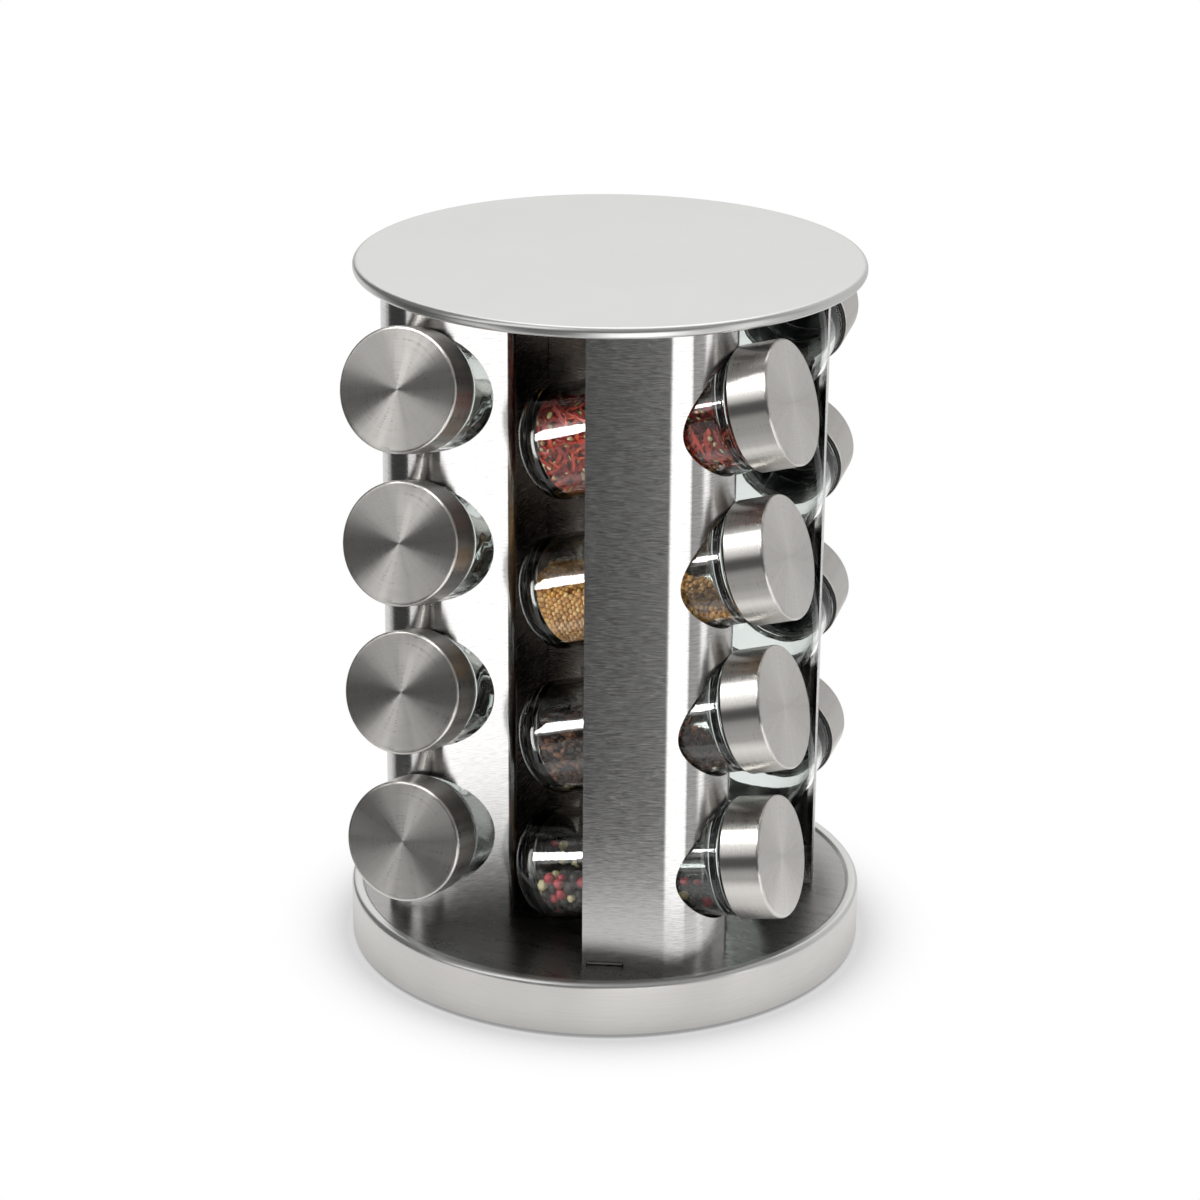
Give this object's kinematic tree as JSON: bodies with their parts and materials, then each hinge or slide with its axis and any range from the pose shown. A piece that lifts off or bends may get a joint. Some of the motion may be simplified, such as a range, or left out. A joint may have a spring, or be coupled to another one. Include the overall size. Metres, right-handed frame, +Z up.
{
  "type": "spice carousel",
  "caption": "Rotating steel spice rack with bent-sheet columns between a round turntable and a round top, holding tilted glass jars with spun steel caps.",
  "frame": {"origin": "centre of the turning axis on the surface the feet stand on", "axes": "+Z up along the turning axis; the jars of column 1 point to +X, and columns 2 to 4 follow at 90 degree steps anticlockwise seen from above"},
  "size_m": [0.2, 0.2, 0.273],
  "materials": {
    "brushed_sheet": "brushed across the sheet, satin",
    "satin_shell": "fine satin",
    "spun_cap": "turned in circles on the face, brushed round the side",
    "jar_glass": "clear, slightly green where it is thick",
    "liner": "black moulded plastic",
    "rubber": "matt black",
    "bearing_steel": "ground steel",
    "plated_nut": "bright plated",
    "base_sheet": "black semi-matt coat"
  },
  "bodies": {
    "base": {"base_plate": "base_sheet", "rubber_feet": "rubber", "bearing_lower_race": "bearing_steel", "bearing_balls": "bearing_steel"},
    "carousel": {"bearing_upper_race": "bearing_steel", "turntable_shell": "satin_shell", "top_disc": "satin_shell", "nuts": "plated_nut", "column_panel_1": "brushed_sheet", "column_panel_2": "brushed_sheet", "column_panel_3": "brushed_sheet", "column_panel_4": "brushed_sheet"},
    "jar_c1_r1": {"jar_glass_c1_r1": "jar_glass"},
    "cap_c1_r1": {"jar_cap_c1_r1": "spun_cap", "cap_liner_c1_r1": "liner"},
    "jar_c1_r2": {"jar_glass_c1_r2": "jar_glass"},
    "cap_c1_r2": {"jar_cap_c1_r2": "spun_cap", "cap_liner_c1_r2": "liner"},
    "jar_c1_r3": {"jar_glass_c1_r3": "jar_glass"},
    "cap_c1_r3": {"jar_cap_c1_r3": "spun_cap", "cap_liner_c1_r3": "liner"},
    "jar_c1_r4": {"jar_glass_c1_r4": "jar_glass"},
    "cap_c1_r4": {"jar_cap_c1_r4": "spun_cap", "cap_liner_c1_r4": "liner"},
    "jar_c2_r1": {"jar_glass_c2_r1": "jar_glass"},
    "cap_c2_r1": {"jar_cap_c2_r1": "spun_cap", "cap_liner_c2_r1": "liner"},
    "jar_c2_r2": {"jar_glass_c2_r2": "jar_glass"},
    "cap_c2_r2": {"jar_cap_c2_r2": "spun_cap", "cap_liner_c2_r2": "liner"},
    "jar_c2_r3": {"jar_glass_c2_r3": "jar_glass"},
    "cap_c2_r3": {"jar_cap_c2_r3": "spun_cap", "cap_liner_c2_r3": "liner"},
    "jar_c2_r4": {"jar_glass_c2_r4": "jar_glass"},
    "cap_c2_r4": {"jar_cap_c2_r4": "spun_cap", "cap_liner_c2_r4": "liner"},
    "jar_c3_r1": {"jar_glass_c3_r1": "jar_glass"},
    "cap_c3_r1": {"jar_cap_c3_r1": "spun_cap", "cap_liner_c3_r1": "liner"},
    "jar_c3_r2": {"jar_glass_c3_r2": "jar_glass"},
    "cap_c3_r2": {"jar_cap_c3_r2": "spun_cap", "cap_liner_c3_r2": "liner"},
    "jar_c3_r3": {"jar_glass_c3_r3": "jar_glass"},
    "cap_c3_r3": {"jar_cap_c3_r3": "spun_cap", "cap_liner_c3_r3": "liner"},
    "jar_c3_r4": {"jar_glass_c3_r4": "jar_glass"},
    "cap_c3_r4": {"jar_cap_c3_r4": "spun_cap", "cap_liner_c3_r4": "liner"},
    "jar_c4_r1": {"jar_glass_c4_r1": "jar_glass"},
    "cap_c4_r1": {"jar_cap_c4_r1": "spun_cap", "cap_liner_c4_r1": "liner"},
    "jar_c4_r2": {"jar_glass_c4_r2": "jar_glass"},
    "cap_c4_r2": {"jar_cap_c4_r2": "spun_cap", "cap_liner_c4_r2": "liner"},
    "jar_c4_r3": {"jar_glass_c4_r3": "jar_glass"},
    "cap_c4_r3": {"jar_cap_c4_r3": "spun_cap", "cap_liner_c4_r3": "liner"},
    "jar_c4_r4": {"jar_glass_c4_r4": "jar_glass"},
    "cap_c4_r4": {"jar_cap_c4_r4": "spun_cap", "cap_liner_c4_r4": "liner"}
  },
  "joints": [
    {"name": "carousel_turn", "type": "hinge", "parent": "base", "child": "carousel", "pos_m": [0, 0, 0.0126], "axis": [0, 0, 1], "continuous": true},
    {"name": "jar_c1_r1_pull", "type": "slide", "parent": "carousel", "child": "jar_c1_r1", "axis": [0.9573, 0, 0.289], "range_m": [0, 0.12]},
    {"name": "cap_c1_r1_off", "type": "slide", "parent": "jar_c1_r1", "child": "cap_c1_r1", "axis": [0.9573, 0, 0.289], "range_m": [0, 0.02]},
    {"name": "jar_c1_r2_pull", "type": "slide", "parent": "carousel", "child": "jar_c1_r2", "axis": [0.9573, 0, 0.289], "range_m": [0, 0.12]},
    {"name": "cap_c1_r2_off", "type": "slide", "parent": "jar_c1_r2", "child": "cap_c1_r2", "axis": [0.9573, 0, 0.289], "range_m": [0, 0.02]},
    {"name": "jar_c1_r3_pull", "type": "slide", "parent": "carousel", "child": "jar_c1_r3", "axis": [0.9573, 0, 0.289], "range_m": [0, 0.12]},
    {"name": "cap_c1_r3_off", "type": "slide", "parent": "jar_c1_r3", "child": "cap_c1_r3", "axis": [0.9573, 0, 0.289], "range_m": [0, 0.02]},
    {"name": "jar_c1_r4_pull", "type": "slide", "parent": "carousel", "child": "jar_c1_r4", "axis": [0.9774, 0, 0.2113], "range_m": [0, 0.12]},
    {"name": "cap_c1_r4_off", "type": "slide", "parent": "jar_c1_r4", "child": "cap_c1_r4", "axis": [0.9774, 0, 0.2113], "range_m": [0, 0.02]},
    {"name": "jar_c2_r1_pull", "type": "slide", "parent": "carousel", "child": "jar_c2_r1", "axis": [0, 0.9573, 0.289], "range_m": [0, 0.12]},
    {"name": "cap_c2_r1_off", "type": "slide", "parent": "jar_c2_r1", "child": "cap_c2_r1", "axis": [0, 0.9573, 0.289], "range_m": [0, 0.02]},
    {"name": "jar_c2_r2_pull", "type": "slide", "parent": "carousel", "child": "jar_c2_r2", "axis": [0, 0.9573, 0.289], "range_m": [0, 0.12]},
    {"name": "cap_c2_r2_off", "type": "slide", "parent": "jar_c2_r2", "child": "cap_c2_r2", "axis": [0, 0.9573, 0.289], "range_m": [0, 0.02]},
    {"name": "jar_c2_r3_pull", "type": "slide", "parent": "carousel", "child": "jar_c2_r3", "axis": [0, 0.9573, 0.289], "range_m": [0, 0.12]},
    {"name": "cap_c2_r3_off", "type": "slide", "parent": "jar_c2_r3", "child": "cap_c2_r3", "axis": [0, 0.9573, 0.289], "range_m": [0, 0.02]},
    {"name": "jar_c2_r4_pull", "type": "slide", "parent": "carousel", "child": "jar_c2_r4", "axis": [0, 0.9774, 0.2113], "range_m": [0, 0.12]},
    {"name": "cap_c2_r4_off", "type": "slide", "parent": "jar_c2_r4", "child": "cap_c2_r4", "axis": [0, 0.9774, 0.2113], "range_m": [0, 0.02]},
    {"name": "jar_c3_r1_pull", "type": "slide", "parent": "carousel", "child": "jar_c3_r1", "axis": [-0.9573, 0, 0.289], "range_m": [0, 0.12]},
    {"name": "cap_c3_r1_off", "type": "slide", "parent": "jar_c3_r1", "child": "cap_c3_r1", "axis": [-0.9573, 0, 0.289], "range_m": [0, 0.02]},
    {"name": "jar_c3_r2_pull", "type": "slide", "parent": "carousel", "child": "jar_c3_r2", "axis": [-0.9573, 0, 0.289], "range_m": [0, 0.12]},
    {"name": "cap_c3_r2_off", "type": "slide", "parent": "jar_c3_r2", "child": "cap_c3_r2", "axis": [-0.9573, 0, 0.289], "range_m": [0, 0.02]},
    {"name": "jar_c3_r3_pull", "type": "slide", "parent": "carousel", "child": "jar_c3_r3", "axis": [-0.9573, 0, 0.289], "range_m": [0, 0.12]},
    {"name": "cap_c3_r3_off", "type": "slide", "parent": "jar_c3_r3", "child": "cap_c3_r3", "axis": [-0.9573, 0, 0.289], "range_m": [0, 0.02]},
    {"name": "jar_c3_r4_pull", "type": "slide", "parent": "carousel", "child": "jar_c3_r4", "axis": [-0.9774, 0, 0.2113], "range_m": [0, 0.12]},
    {"name": "cap_c3_r4_off", "type": "slide", "parent": "jar_c3_r4", "child": "cap_c3_r4", "axis": [-0.9774, 0, 0.2113], "range_m": [0, 0.02]},
    {"name": "jar_c4_r1_pull", "type": "slide", "parent": "carousel", "child": "jar_c4_r1", "axis": [0, -0.9573, 0.289], "range_m": [0, 0.12]},
    {"name": "cap_c4_r1_off", "type": "slide", "parent": "jar_c4_r1", "child": "cap_c4_r1", "axis": [0, -0.9573, 0.289], "range_m": [0, 0.02]},
    {"name": "jar_c4_r2_pull", "type": "slide", "parent": "carousel", "child": "jar_c4_r2", "axis": [0, -0.9573, 0.289], "range_m": [0, 0.12]},
    {"name": "cap_c4_r2_off", "type": "slide", "parent": "jar_c4_r2", "child": "cap_c4_r2", "axis": [0, -0.9573, 0.289], "range_m": [0, 0.02]},
    {"name": "jar_c4_r3_pull", "type": "slide", "parent": "carousel", "child": "jar_c4_r3", "axis": [0, -0.9573, 0.289], "range_m": [0, 0.12]},
    {"name": "cap_c4_r3_off", "type": "slide", "parent": "jar_c4_r3", "child": "cap_c4_r3", "axis": [0, -0.9573, 0.289], "range_m": [0, 0.02]},
    {"name": "jar_c4_r4_pull", "type": "slide", "parent": "carousel", "child": "jar_c4_r4", "axis": [0, -0.9774, 0.2113], "range_m": [0, 0.12]},
    {"name": "cap_c4_r4_off", "type": "slide", "parent": "jar_c4_r4", "child": "cap_c4_r4", "axis": [0, -0.9774, 0.2113], "range_m": [0, 0.02]}
  ]
}
